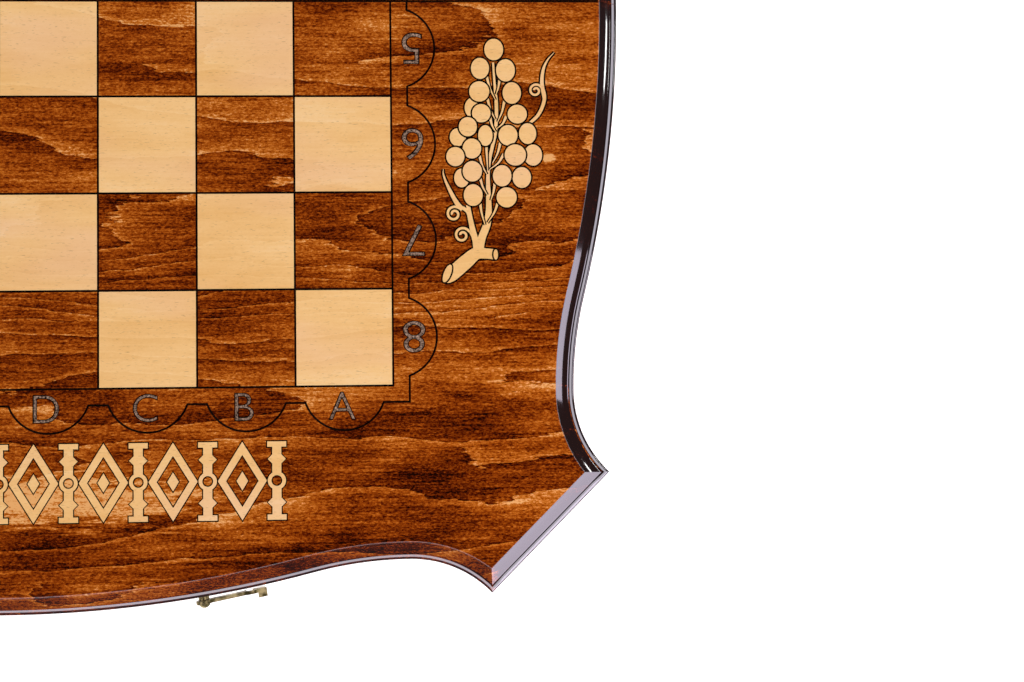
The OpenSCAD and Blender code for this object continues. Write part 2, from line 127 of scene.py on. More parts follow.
def makeBeechFigure():
    tree, given, result = newGroup("beechFigure", [
        ("Vector", "Vector", None), ("Stave Width", "Float", 0.063), ("Ring Width", "Float", 0.0085),
        ("Seed", "Float", 0.0)],
        [("Ring", "Float"), ("Cloud", "Float"), ("Streak", "Float"), ("Grain", "Float"), ("Fleck", "Float"),
         ("Tone", "Float"), ("Height", "Float")])
    x, y, z = addNode(tree, "SeparateXYZ", {0: given.outputs["Vector"]}).outputs
    # stave number and three values that are its own
    row = mathNode(tree, "ADD", mathNode(tree, "DIVIDE", y, given.outputs["Stave Width"]), 0.5)
    number = mathNode(tree, "FLOOR", row)
    seeded = mathNode(tree, "ADD", number, given.outputs["Seed"])
    own = addNode(tree, "TexWhiteNoise", {"W": seeded}, noise_dimensions="1D")
    own1, own2, own3 = addNode(tree, "SeparateColor", {0: own.outputs["Color"]}).outputs
    across = mathNode(tree, "SUBTRACT", row, mathNode(tree, "ADD", number, 0.5))
    across = mathNode(tree, "MULTIPLY", across, given.outputs["Stave Width"])
    # the ring count is the distance from a pith line that sinks along X, bent by slow waves and a ragged
    # edge, over the stave's own ring width
    offY = mathNode(tree, "ADD", across, mathNode(tree, "MULTIPLY_ADD", own1, 0.07, -0.035))
    offZ = mathNode(tree, "MULTIPLY_ADD", own2, 0.04, 0.018)
    sink = mathNode(tree, "MULTIPLY_ADD", own3, 0.14, -0.07)
    offZ = mathNode(tree, "ADD", offZ, mathNode(tree, "MULTIPLY", x, sink))
    reach = mathNode(tree, "SQRT", mathNode(tree, "ADD", mathNode(tree, "POWER", offY, 2.0),
                                            mathNode(tree, "POWER", offZ, 2.0)))
    slow = spreadNoise(tree, x, y, seeded, (7.0, 26.0, 3.7), 2.0)
    ragged = spreadNoise(tree, x, y, z, (90.0, 500.0, 300.0), 3.0)
    reach = mathNode(tree, "ADD", reach, mathNode(tree, "MULTIPLY", slow, 0.005))
    reach = mathNode(tree, "ADD", reach, mathNode(tree, "MULTIPLY", ragged, 0.0004))
    growth = mathNode(tree, "MULTIPLY_ADD", own3, 1.1, 0.35)
    width = mathNode(tree, "MULTIPLY", given.outputs["Ring Width"], growth)
    # one stave of the near half, beside the last two ranks, was slow grown and has narrow rings
    narrow = mathNode(tree, "COMPARE", number, -2.0, 0.1)
    width = mathNode(tree, "MULTIPLY", width, mathNode(tree, "MULTIPLY_ADD", narrow, -0.5, 1.0))
    phase = mathNode(tree, "FRACT", mathNode(tree, "DIVIDE", reach, width))
    # a thin light line, then ever darker wood as far as the next line
    ring = rampNode(tree, phase, [(0.0, 1.0), (0.04, 0.9), (0.13, 0.52), (0.6, 0.42), (0.88, 0.2),
                                  (1.0, 0.0)])
    # clouds of stain, streaks and fine grain along X, and short dark rays
    cloud = spreadNoise(tree, x, y, number, (15.0, 46.0, 0.35), 5.0, 0.6)
    streak = spreadNoise(tree, x, y, z, (34.0, 820.0, 600.0), 3.0, 0.6)
    grain = spreadNoise(tree, x, y, z, (700.0, 1500.0, 1200.0), 2.0, 0.7)
    ray = spreadNoise(tree, x, y, z, (380.0, 2600.0, 900.0), 1.0)
    fleck = rampNode(tree, mathNode(tree, "MULTIPLY_ADD", ray, 0.5, 0.5), [(0.96, 0.0), (1.0, 1.0)])
    height = mathNode(tree, "MULTIPLY_ADD", grain, 0.35, mathNode(tree, "MULTIPLY", streak, 0.3))
    height = mathNode(tree, "SUBTRACT", height, fleck)
    for label, socket in (("Ring", ring), ("Cloud", cloud), ("Streak", streak), ("Grain", grain),
                          ("Fleck", fleck), ("Tone", own1), ("Height", height)):
        tree.links.new(socket, result.inputs[label])
    return tree


beechFigure = makeBeechFigure()

# how much each part of the figure counts, and the lacquer over it
stainLook = dict(Ring=0.50, Cloud=0.28, Streak=0.16, Grain=0.28, Tone=0.12, Fleck=-0.10, level=0.195,
                 endGrain=0.30, roughness=0.5, coat=0.9, coatRoughness=0.10, coatIor=1.45, bump=0.25)
stainColours = [(0.0, (0.011, 0.0018, 0.0005)), (0.22, (0.092, 0.0095, 0.0007)),
                (0.5, (0.292, 0.051, 0.0032)), (0.68, (0.47, 0.117, 0.0095)),
                (0.86, (0.62, 0.195, 0.028)), (1.0, (0.80, 0.40, 0.14))]

# patches that took less stain, or more where the strength is below 0, in metres
stainPatches = [dict(middle=(0.030, -0.2445), half=(0.085, 0.0155), strength=0.60),
                dict(middle=(0.2675, -0.0785), half=(0.0045, 0.0028), strength=0.55),
                dict(middle=(0.283, -0.0315), half=(0.024, 0.0022), strength=-0.30),
                dict(middle=(0.288, -0.011), half=(0.016, 0.006), strength=-0.22)]


def patchMask(tree, coords):
    # each patch fades out from its middle and has an edge as ragged as the grain
    x, y, z = addNode(tree, "SeparateXYZ", {0: coords.outputs["Object"]}).outputs
    ragged = spreadNoise(tree, x, y, z, (45.0, 330.0, 1.0), 4.0, 0.7)
    ragged = mathNode(tree, "MULTIPLY", ragged, -0.45)
    total = 0.0
    for patch in stainPatches:
        squares = []
        for place, middle, half in zip((x, y), patch["middle"], patch["half"]):
            share = mathNode(tree, "DIVIDE", mathNode(tree, "SUBTRACT", place, middle), half)
            squares.append(mathNode(tree, "POWER", share, 2.0))
        away = mathNode(tree, "SQRT", mathNode(tree, "ADD", *squares))
        away = mathNode(tree, "ADD", away, ragged)
        total = mathNode(tree, "ADD", rampNode(tree, away, [(0.45, patch["strength"]), (0.95, 0.0)]), total)
    return total


def lacquer(tree, shader, look, height):
    # the coat gives all the gloss, and the height of the grain shows through it
    shader.inputs["Specular IOR Level"].default_value = 0.0
    shader.inputs["Coat Weight"].default_value = look["coat"]
    shader.inputs["Coat Roughness"].default_value = look["coatRoughness"]
    shader.inputs["Coat IOR"].default_value = look["coatIor"]
    bump = addNode(tree, "Bump", {"Height": height, "Strength": look["bump"], "Distance": 0.0002})
    tree.links.new(bump.outputs[0], shader.inputs["Normal"])


def makeStained(name, seed, look, turned=False, patched=False):
    # stained beech: the figure's parts added up to one value that picks the colour, less on end grain,
    # which drinks more stain
    material, tree, shader = newMaterial(name)
    coords = addNode(tree, "TexCoord")
    mapping = addNode(tree, "Mapping", {"Vector": coords.outputs["Object"]})
    if turned:
        mapping.inputs["Rotation"].default_value = (0, 0, np.pi / 2)
    figure = placeGroup(tree, beechFigure, {"Vector": mapping.outputs[0], "Seed": seed})
    parts = figure.outputs
    value = mathNode(tree, "MULTIPLY_ADD", parts["Ring"], look["Ring"], look["level"])
    for label in ("Cloud", "Streak", "Grain", "Tone", "Fleck"):
        value = mathNode(tree, "MULTIPLY_ADD", parts[label], look[label], value)
    end = addNode(tree, "Attribute", attribute_name="endGrain")
    value = mathNode(tree, "MULTIPLY_ADD", end.outputs["Fac"], -look["endGrain"], value)
    if patched:
        value = mathNode(tree, "ADD", value, patchMask(tree, coords))
    colour = rampNode(tree, value, stainColours)
    tree.links.new(colour, shader.inputs["Base Color"])
    rough = mathNode(tree, "MULTIPLY_ADD", parts["Streak"], 0.04, look["roughness"])
    tree.links.new(rough, shader.inputs["Roughness"])
    lacquer(tree, shader, look, parts["Height"])
    return material


bareLook = dict(Ring=0.14, Cloud=0.15, Streak=0.05, Grain=0.05, level=0.48, pink=0.38, ray=0.45,
                roughness=0.5, coat=0.9, coatRoughness=0.10, coatIor=1.45, bump=0.15)
bareColours = [(0.0, (0.62, 0.31, 0.10)), (0.35, (0.82, 0.455, 0.155)), (0.6, (0.90, 0.555, 0.23)),
               (1.0, (0.97, 0.72, 0.42))]
pinkWood, rayWood = (0.86, 0.52, 0.32, 1.0), (0.40, 0.19, 0.075, 1.0)


def makeBare(name, seed, look):
    # beech without stain under the same lacquer: yellow and pink clouds, faint rings, small dark rays
    material, tree, shader = newMaterial(name)
    coords = addNode(tree, "TexCoord")
    figure = placeGroup(tree, beechFigure, {"Vector": coords.outputs["Object"], "Seed": seed})
    parts = figure.outputs
    value = mathNode(tree, "MULTIPLY_ADD", parts["Ring"], look["Ring"], look["level"])
    for label in ("Cloud", "Streak", "Grain"):
        value = mathNode(tree, "MULTIPLY_ADD", parts[label], look[label], value)
    colour = rampNode(tree, value, bareColours)
    x, y, z = addNode(tree, "SeparateXYZ", {0: coords.outputs["Object"]}).outputs
    clouds = spreadNoise(tree, x, y, z, (9.0, 30.0, 5.0), 2.0)
    colour = mixColour(tree, rampNode(tree, clouds, [(0.0, 0.0), (0.9, look["pink"])]), colour, pinkWood)
    colour = mixColour(tree, mathNode(tree, "MULTIPLY", parts["Fleck"], look["ray"]), colour, rayWood)
    tree.links.new(colour, shader.inputs["Base Color"])
    shader.inputs["Roughness"].default_value = look["roughness"]
    lacquer(tree, shader, look, parts["Height"])
    return material


def makeScorched(name, dark, pale, roughness, scale):
    # wood burnt by the engraving tool, with a ragged ashy grain
    material, tree, shader = newMaterial(name)
    coords = addNode(tree, "TexCoord")
    noise = addNode(tree, "TexNoise", {"Vector": coords.outputs["Object"], "Scale": scale, "Detail": 5.0,
                                       "Roughness": 0.7})
    colour = rampNode(tree, noise.outputs["Fac"], [(0.38, dark), (0.66, pale)])
    tree.links.new(colour, shader.inputs["Base Color"])
    shader.inputs["Roughness"].default_value = roughness
    shader.inputs["Specular IOR Level"].default_value = 0.0
    bump = addNode(tree, "Bump", {"Height": noise.outputs["Fac"], "Strength": 0.8, "Distance": 0.0004})
    tree.links.new(bump.outputs[0], shader.inputs["Normal"])
    return material


def makeBrass(name, bright, dull, roughness):
    # lacquered brass, darker where it has tarnished, with fine drawn scratches
    material, tree, shader = newMaterial(name)
    coords = addNode(tree, "TexCoord")
    cloud = addNode(tree, "TexNoise", {"Vector": coords.outputs["Object"], "Scale": 260.0, "Detail": 4.0})
    stretch = addNode(tree, "Mapping", {"Vector": coords.outputs["Object"],
                                        "Scale": (300.0, 4200.0, 4200.0)})
    line = addNode(tree, "TexNoise", {"Vector": stretch.outputs[0], "Scale": 1.0, "Detail": 2.0})
    tarnish = rampNode(tree, cloud.outputs["Fac"], [(0.36, 0.0), (0.60, 1.0)])
    colour = mixColour(tree, tarnish, bright, dull)
    tree.links.new(colour, shader.inputs["Base Color"])
    shader.inputs["Metallic"].default_value = 1.0
    rough = mathNode(tree, "MULTIPLY_ADD", tarnish, 0.16, roughness)
    rough = mathNode(tree, "MULTIPLY_ADD", line.outputs["Fac"], 0.10, rough)
    tree.links.new(rough, shader.inputs["Roughness"])
    bump = addNode(tree, "Bump", {"Height": line.outputs["Fac"], "Strength": 0.12, "Distance": 0.0001})
    tree.links.new(bump.outputs[0], shader.inputs["Normal"])
    return material


# one figure runs through a face panel, its inlays and its moulding
boardSeed = 3.0
stained = makeStained("stainedBeech", boardSeed, stainLook, patched=True)
bare = makeBare("bareBeech", boardSeed, bareLook)
scorched = makeScorched("scorchedLine", (0.003, 0.0022, 0.0018), (0.012, 0.008, 0.006), 0.6, 900.0)
scuffed = makeScorched("scuffedLetter", (0.012, 0.009, 0.008), (0.56, 0.36, 0.25), 0.75, 1100.0)
# the moulding has the same stain under a thicker, glossier lacquer, darker towards the outer edge; the
# darker colour of the outer edge and wall is painted shade, for the dark line that the steep edge shows
mouldLook = dict(stainLook, level=0.30, endGrain=0.95, coat=1.0, coatRoughness=0.07, coatIor=2.2)
moulded = makeStained("coveBeech", boardSeed, mouldLook)
beaded = makeStained("beadBeech", boardSeed, dict(mouldLook, level=0.05, coatIor=3.0))
# painted shade: the outer edge and the wall below it take a darker stain level than the rest of the
# moulding
paintedShadeEdge = makeStained("edgeBeechPaintedShade", boardSeed, dict(mouldLook, level=-0.12, coat=0.15, coatIor=1.4))
boardFinishes = [stained, bare, scorched, scuffed, moulded, beaded, paintedShadeEdge]
# places in the list of finishes; the first three are the same in a field panel's list
groundWood, paleWood, burntLine, scuffedGround, coveWood, beadWood, paintedShadeEdgeWood = range(len(boardFinishes))
railLook = dict(stainLook, level=0.18, roughness=0.4)
railAlong = makeStained("railBeechAlongX", 11.0, railLook)
railAcross = makeStained("railBeechAlongY", 17.0, railLook, turned=True)
brass = makeBrass("brass", (0.48, 0.39, 0.18, 1.0), (0.09, 0.075, 0.025, 1.0), 0.26)
brassFasteners = makeBrass("brassFasteners", (0.74, 0.55, 0.25, 1.0), (0.36, 0.26, 0.12, 1.0), 0.28)
print("materials made")


# flat shapes, all in millimetres

def disc(x, y, radiusX, radiusY=None, turn=0.0, count=40):
    angle = np.linspace(0, 2 * np.pi, count, endpoint=False)
    px, py = radiusX * np.cos(angle), (radiusY or radiusX) * np.sin(angle)
    c, s = np.cos(turn), np.sin(turn)
    return np.stack([x + px * c - py * s, y + px * s + py * c], 1)


def rectangle(x0, y0, x1, y1):
    return np.array([[x0, y0], [x1, y0], [x1, y1], [x0, y1]], float)


def ribbon(points, widths):
    # quads along a path: each point moved half a width to both sides, at right angles to the path;
    # the corners of each quad are put in order of their angle, so a tight curl doesn't fold it over
    points = np.asarray(points, float)
    along = np.gradient(points, axis=0)
    along /= np.linalg.norm(along, axis=1)[:, None]
    off = np.stack([-along[:, 1], along[:, 0]], 1) * np.broadcast_to(widths, len(points))[:, None] / 2
    left, right = points + off, points - off
    quads = np.stack([right[:-1], right[1:], left[1:], left[:-1]], 1)
    middle = quads.mean(1, keepdims=True)
    order = np.argsort(np.arctan2(*np.moveaxis(quads - middle, -1, 0)[::-1]), axis=1)
    return list(np.take_along_axis(quads, order[..., None], 1))


def signedArea(points):
    x, y = points.T
    return 0.5 * np.sum(x * np.roll(y, -1) - y * np.roll(x, -1))


def arc(x, y, radius, start, end, count=30):
    angle = np.radians(np.linspace(start, end, count))
    return np.stack([x + radius * np.cos(angle), y + radius * np.sin(angle)], 1)


def moved(shapes, turn=0.0, shift=(0.0, 0.0), mirrored=False):
    # each shape mirrored in x, turned in degrees and shifted
    c, s = np.cos(np.radians(turn)), np.sin(np.radians(turn))
    result = []
    for shape, finish in shapes:
        points = shape * (-1, 1) if mirrored else shape
        points = points @ np.array([[c, s], [-s, c]]) + shift
        result.append((points[::-1] if mirrored else points, finish))
    return result


def glyph(text, height, grow, wide):
    # triangles of a character, as high as asked and centred on the origin, its strokes wider by grow on
    # each side; the curve's offset is a share of the character's height
    curve = bpy.data.curves.new("glyph", "FONT")
    curve.body = text
    curve.offset = grow / height * 0.7
    holder = bpy.data.objects.new("glyph", curve)
    bpy.context.scene.collection.objects.link(holder)
    shape = holder.evaluated_get(bpy.context.evaluated_depsgraph_get()).to_mesh()
    shape.calc_loop_triangles()
    points = np.array([vertex.co[:2] for vertex in shape.vertices])
    corners = [list(triangle.vertices) for triangle in shape.loop_triangles]
    low, high = points.min(0), points.max(0)
    points = (points - (low + high) / 2) * (height + 2 * grow) / (high[1] - low[1]) * (wide, 1.0)
    bpy.data.objects.remove(holder)
    bpy.data.curves.remove(curve)
    return [points[corner] for corner in corners]


def inlaid(parts, line):
    # one inlaid shape made of several: all of them wider by the scorched line first, then the pale wood
    return [(points, burntLine) for points in parts(line)] + [(points, paleWood) for points in parts(0.0)]


# bunch of grapes: berries on a branching stem with curled tendrils, in millimetres about its middle

grapes = dict(
    place=(238.5, -78.0), line=0.8, twig=1.4, twigTip=0.35, swell=0.25,
    # middle and half sizes of each berry, those behind first
    behind=[
        (-8.4, 24.6, 4.0, 5.1), (18.7, 11.7, 4.4, 5.3), (-15.8, 10.0, 4.1, 4.6), (21.3, 1.0, 4.6, 5.4),
        (-14.1, -10.2, 3.8, 4.8), (15.6, -10.1, 4.7, 5.3)],
    front=[
        (2.4, 53.6, 4.8, 5.5), (-4.5, 44.2, 4.6, 5.4), (8.1, 43.2, 4.8, 5.7), (-5.0, 32.7, 5.1, 5.2),
        (11.1, 31.9, 4.7, 5.5), (-4.1, 21.9, 4.7, 4.7), (13.7, 21.4, 4.9, 4.8), (-10.8, 15.2, 4.6, 4.9),
        (-2.2, 10.8, 3.7, 5.3), (9.0, 10.9, 4.8, 5.2), (-8.9, 4.4, 4.7, 5.1), (12.5, 1.1, 5.4, 5.4),
        (-17.1, 0.4, 4.6, 4.9), (-8.8, -6.9, 4.9, 5.2), (5.9, -9.2, 4.7, 5.4), (-8.5, -18.7, 4.8, 5.5),
        (8.0, -19.9, 5.1, 5.1)],
    # points and widths along each strip of the stem
    strips=[
        [(-5.7, -44.6, 4.3), (-4.4, -39.7, 3.8), (-1.8, -32.9, 3.6), (-0.9, -26.1, 2.9),
         (-1.0, -18.1, 2.3), (-1.1, -8.8, 1.7), (-0.3, -1.4, 1.6), (1.1, 4.8, 1.6), (2.6, 11.7, 1.7),
         (3.3, 19.1, 1.6), (3.4, 25.9, 1.7), (3.0, 32.2, 1.4), (2.5, 38.4, 1.1), (2.0, 47.1, 1.0)],
        [(-21.9, -57.3, 8.7), (-20.9, -57.7, 8.4), (-18.3, -56.6, 7.2), (-12.5, -51.7, 7.0),
         (-7.3, -47.6, 6.0), (-2.4, -47.6, 5.1), (2.2, -48.1, 5.1)],
        [(-6.4, -45.2, 3.6), (-8.3, -38.4, 2.9), (-9.8, -31.6, 2.4), (-11.1, -23.6, 1.9)],
        [(-7.4, -45.8, 2.6), (-8.3, -40.3, 1.9), (-10.0, -36.6, 1.7)],
        [(-10.0, -32.2, 1.9), (-11.1, -27.3, 1.8), (-13.8, -24.8, 1.7)],
        [(-13.8, -25.8, 2.4), (-16.9, -22.1, 2.2), (-20.9, -14.3, 1.4), (-23.0, -8.7, 0.8),
         (-23.1, -5.7, 0.2)],
        [(20.0, 17.0, 1.4), (24.0, 20.9, 1.6), (26.5, 25.9, 1.7), (27.3, 30.3, 1.7), (26.4, 34.4, 1.6)],
        [(27.2, 29.4, 1.8), (26.1, 36.9, 1.8), (26.8, 43.4, 1.4), (29.0, 48.3, 0.8), (32.4, 52.2, 0.2)]],
    # middle, radius, first angle and width of each curl
    curls=[(-14.1, -38.5, 3.9, 25, 1.2), (-18.0, -28.0, 3.8, 50, 1.2), (22.9, 33.1, 3.4, 15, 1.15)],
    # each twig, from a berry's underside down to the stem
    twigs=[
        (-1.4, 39.4, 3.0, 28.4), (5.3, 38.1, 3.3, 31.2), (-1.0, 27.8, 2.8, 18.7), (7.4, 26.4, 3.9, 17.5),
        (0.2, 18.2, 3.0, 12.5), (8.2, 18.8, 3.6, 14.3), (-1.8, 5.3, -1.2, -6.6), (5.2, 5.7, 1.2, -2.9),
        (6.8, 0.1, -0.3, -6.1), (-5.3, -0.3, -1.6, -8.5), (-5.1, -11.3, -1.5, -18.7),
        (2.3, -14.1, 0.1, -21.4), (-5.2, -23.9, -2.8, -33.5), (3.9, -23.1, -1.6, -32.5)],
    # middle, half sizes and lean of both cut ends
    cuts=[(-21.6, -57.3, 1.7, 4.6, -0.38), (2.3, -48.1, 1.1, 2.5, 0.0)])


def smoothLine(rows, count=8):
    # cubic stretches through the given rows, each leaving along the line between its neighbours
    p = np.asarray(rows, float)
    p = np.concatenate([2 * p[:1] - p[1:2], p, 2 * p[-1:] - p[-2:-1]])
    t = np.linspace(0, 1, count, endpoint=False)[:, None, None]
    a, b, c, d = p[:-3], p[1:-2], p[2:-1], p[3:]
    square, cube = 2 * a - 5 * b + 4 * c - d, 3 * b - a - 3 * c + d
    line = 0.5 * (2 * b + (c - a) * t + square * t ** 2 + cube * t ** 3)
    return np.concatenate([line.swapaxes(0, 1).reshape(-1, p.shape[1]), p[-2:-1]])


def curl(x, y, radius, start, turns=1.4):
    # spiral that turns left while its radius shrinks to a quarter
    t = np.linspace(0, 1, 40)
    angle = np.radians(start) + 2 * np.pi * turns * t
    reach = radius * (1 - 0.75 * t)
    return np.stack([x + reach * np.cos(angle), y + reach * np.sin(angle)], 1)


def grapeBunch():
    line = grapes["line"]

    def branches(extra):
        parts = []
        for rows in grapes["strips"]:
            points = smoothLine(rows)
            parts += ribbon(points[:, :2], points[:, 2] + 2 * extra)
        for x, y, radius, start, width in grapes["curls"]:
            parts += ribbon(curl(x, y, radius, start), width + 2 * extra)
        return parts

    shapes = inlaid(branches, line)
    # each twig bends a little before half way, thins to a point on the stem and has its own outline,
    # thinner than the others
    for x0, y0, x1, y1 in grapes["twigs"]:
        points = smoothLine([(x0, y0 + 1.5), (0.62 * x0 + 0.38 * x1, 0.55 * y0 + 0.45 * y1), (x1, y1)])
        widths = np.linspace(grapes["twig"], grapes["twigTip"], len(points))
        shapes += [(quad, burntLine) for quad in ribbon(points, widths + 1.6 * line)]
        shapes += [(quad, paleWood) for quad in ribbon(points, widths)]
    for x, y, rx, ry, lean in grapes["cuts"]:
        shapes.append((disc(x, y, rx + line, ry + line, lean), burntLine))
        shapes.append((disc(x, y, rx, ry, lean), paleWood))
    # the line round a berry lies half outside and half inside its edge
    for x, y, rx, ry in grapes["behind"] + grapes["front"]:
        for side, finish in ((0.5, burntLine), (-0.5, paleWood)):
            grow = grapes["swell"] + side * line
            shapes.append((disc(x, y, rx + grow, ry + grow), finish))
    return shapes


# inlaid band beside the field: hollow lozenges with a seed inside, between spindles. Each part has its half
# size, and tipGrowth is how much further a lozenge's tip moves than its sides when its outline grows
band = dict(middle=-235.5, half=19.0, pitch=33.3, cells=8, line=0.6, lozenge=11.8, frame=3.6, tipGrowth=1.1,
            seed=(2.8, 4.6), seedTipGrowth=1.6, bar=2.2, foot=(4.6, 1.3), knob=4.4, eye=2.0, wing=4.4,
            wingPlace=10.5)


def lozenge(x, halfX, halfY, y=0.0):
    return np.array([[x - halfX, y], [x, y - halfY], [x + halfX, y], [x, y + halfY]])


def inlayBand():
    line, half = band["line"], band["half"]
    slope = half / band["lozenge"]
    seedX, seedY = band["seed"]
    footX, footY = band["foot"]
    shapes = []
    for cell in range(band["cells"]):
        x = (cell - (band["cells"] - 1) / 2) * band["pitch"]
        for shrink, finish in ((-line, burntLine), (0.0, paleWood), (band["frame"], burntLine),
                               (band["frame"] + line, groundWood)):
            inward = shrink * band["tipGrowth"]
            shapes.append((lozenge(x, band["lozenge"] - inward, half - inward * slope), finish))
        shapes.append((lozenge(x, seedX + line, seedY + line * band["seedTipGrowth"]), burntLine))
        shapes.append((lozenge(x, seedX, seedY), paleWood))
    for post in range(band["cells"] + 1):
        x = (post - band["cells"] / 2) * band["pitch"]

        def spindle(grow):
            width, wing = band["bar"] + grow, band["wing"] + grow
            parts = [rectangle(x - width, -half - grow, x + width, half + grow)]
            parts.append(disc(x, 0, band["knob"] + grow))
            for end in (-1, 1):
                y = end * (half - footY)
                parts.append(rectangle(x - footX - grow, y - footY - grow,
                                       x + footX + grow, y + footY + grow))
                parts.append(lozenge(x, wing, wing, end * band["wingPlace"]))
            return parts

        shapes += inlaid(spindle, line)
        shapes += [(disc(x, 0, band["eye"] + line), burntLine), (disc(x, 0, band["eye"]), groundWood)]
    return moved(shapes, shift=(0.0, band["middle"]))


# chess field: pale squares, engraved lines, scalloped border, letters and digits
field = dict(square=47.5, line=1.0, foldReach=293.0, foldLine=0.7, borderOffset=8.0, scallopWidth=38.0,
             scallopHeight=13.5, letterHeight=13.6, digitHeight=15.6, letterOff=199.6, letterShift=-1.2,
             digitOff=200.4, digitWide=1.14, burnt=0.11, scuffed=-0.33)


def scuffedMark(text, height, wide=1.0):
    # a character burnt a little wider than its scuffed ground
    shapes = []
    for grow, finish in ((field["burnt"], burntLine), (field["scuffed"], scuffedGround)):
        shapes += [(points, finish) for points in glyph(text, height, grow, wide)]
    return shapes


def scallop():
    # an arc of the given width and height, and the straight line on both sides as far as the next one
    line, chord, rise = field["line"], field["scallopWidth"] / 2, field["scallopHeight"]
    radius = (chord ** 2 + rise ** 2) / (2 * rise)
    spread = np.degrees(np.arcsin(chord / radius))
    parts = ribbon(arc(0, radius - rise, radius, -90 - spread, -90 + spread), line)
    for side in (-1, 1):
        low, high = sorted((side * chord, side * field["square"] / 2))
        parts.append(rectangle(low, -line / 2, high, line / 2))
        parts.append(disc(side * chord, 0, line / 2, count=12))
    return [(points, burntLine) for points in parts]


def chessField(half):
    # half is "near" or "far"; the far half is drawn as a near one and turned round at the end
    square, halfLine = field["square"], field["line"] / 2
    reach = 4 * square
    shapes = []
    for rank in range(4):
        for column in range(8):
            # on the near half the rank at the fold is 5 and the file at +X is A
            if (column + rank) % 2 == 0:
                x0, y0 = (column - 4) * square, -(rank + 1) * square
                shapes.append((rectangle(x0, y0, x0 + square, y0 + square), paleWood))
    lines = []
    for column in range(9):
        x = (column - 4) * square
        lines.append(rectangle(x - halfLine, -reach - halfLine, x + halfLine, -seam))
    for rank in range(1, 5):
        y = -rank * square
        lines.append(rectangle(-reach - halfLine, y - halfLine, reach + halfLine, y + halfLine))
    lines.append(rectangle(-field["foldReach"], -seam - field["foldLine"], field["foldReach"], -seam))
    shapes += [(points, burntLine) for points in lines]
    bay = scallop()
    border = reach + field["borderOffset"]
    for column in range(8):
        shapes += moved(bay, shift=((column - 3.5) * square, -border))
    for side in (-1, 1):
        for rank in range(4):
            shapes += moved(bay, turn=side * 90, shift=(side * border, -(rank + 0.5) * square))
        x = side * border
        low, high = sorted((side * reach, side * (border + halfLine)))
        shapes.append((rectangle(low, -border - halfLine, high, -border + halfLine), burntLine))
        shapes.append((rectangle(x - halfLine, -border, x + halfLine, -reach), burntLine))
    letters = "HGFEDCBA" if half == "near" else "ABCDEFGH"
    for column, letter in enumerate(letters):
        x = (column - 3.5) * square + field["letterShift"]
        shapes += moved(scuffedMark(letter, field["letterHeight"]), shift=(x, -field["letterOff"]))
    digits = "5678" if half == "near" else "4321"
    for rank, digit in enumerate(digits):
        marks = scuffedMark(digit, field["digitHeight"], field["digitWide"])
        y = -(rank + 0.5) * square
        shapes += moved(marks, turn=180, shift=(field["digitOff"], y))
        shapes += moved(marks, shift=(-field["digitOff"], y))
    return shapes


# outline and moulding of the face panel, in millimetres
outline = dict(reach=299.5, midShift=3.5, swell=600.0, hollow=194.0, flare=56.0, waist=193.5, corner=234.0)
swellCentre = outline["reach"] - outline["swell"]
hollowCentre = swellCentre + np.sqrt((outline["swell"] + outline["hollow"]) ** 2 - outline["waist"] ** 2)
flareCentre = hollowCentre - outline["hollow"] + outline["flare"]
swellAngle = np.arcsin(outline["waist"] / (outline["swell"] + outline["hollow"]))
cornerReach = flareCentre - np.sqrt(outline["flare"] ** 2 - (outline["corner"] - outline["waist"]) ** 2)
cornerSum = outline["corner"] + cornerReach


def halfSide(inset, start):
    # from near the middle of a side to the middle of its corner cut, for each inset from the true edge:
    # swell, hollow and flare are arcs about fixed centres, and the flare ends where it meets the cut
    inset = np.atleast_1d(inset).astype(float)[None, :]
    swellR, hollowR, flareR = outline["swell"] - inset, outline["hollow"] + inset, outline["flare"] + inset
    first = np.arcsin(start / swellR)
    t = np.linspace(0, 1, 41)[:, None]
    angle = first + (swellAngle - first) * t
    swell = np.stack([swellR * np.sin(angle), swellCentre + swellR * np.cos(angle)], -1)
    angle = swellAngle * (1 - np.linspace(0, 1, 21)[1:, None])
    hollow = np.stack([outline["waist"] - hollowR * np.sin(angle),
                       hollowCentre - hollowR * np.cos(angle)], -1)
    cut = cornerSum - inset * root2
    last = np.pi / 4 + np.arcsin((cut - outline["waist"] - flareCentre) / (flareR * root2))
    angle = last * np.linspace(0, 1, 37)[1:, None]
    flare = np.stack([outline["waist"] + flareR * np.sin(angle), flareCentre - flareR * np.cos(angle)], -1)
    t = np.linspace(0, 1, 6)[1:, None, None]
    corner = flare[-1:] * (1 - t) + cut[..., None] / 2 * t
    return np.concatenate([swell, hollow, flare, corner])


def panelPath(inset):
    # round the near half from the fold at +X to the fold at -X, as rows of points, one column an inset
    side = halfSide(inset, seam)
    front = halfSide(inset, 0.0)[::-1]
    right = np.stack([side[..., 1], -side[..., 0]], -1)
    near = np.stack([front[..., 0], -front[..., 1]], -1)
    quarter = np.concatenate([right, near[1:]]) + (outline["midShift"], 0.0)
    return np.concatenate([quarter, (quarter * (-1, 1))[::-1]])


# bead tilt: the angles between which the bead's top turns; quirk: the groove between cove and bead
mould = dict(width=9.2, bead=2.55, edge=0.5, step=1.3, coveDepth=4.11, coveRadius=23.5,
             beadTilt=(9.0, 26.0), turn=0.8, soft=0.4, quirk=0.35)


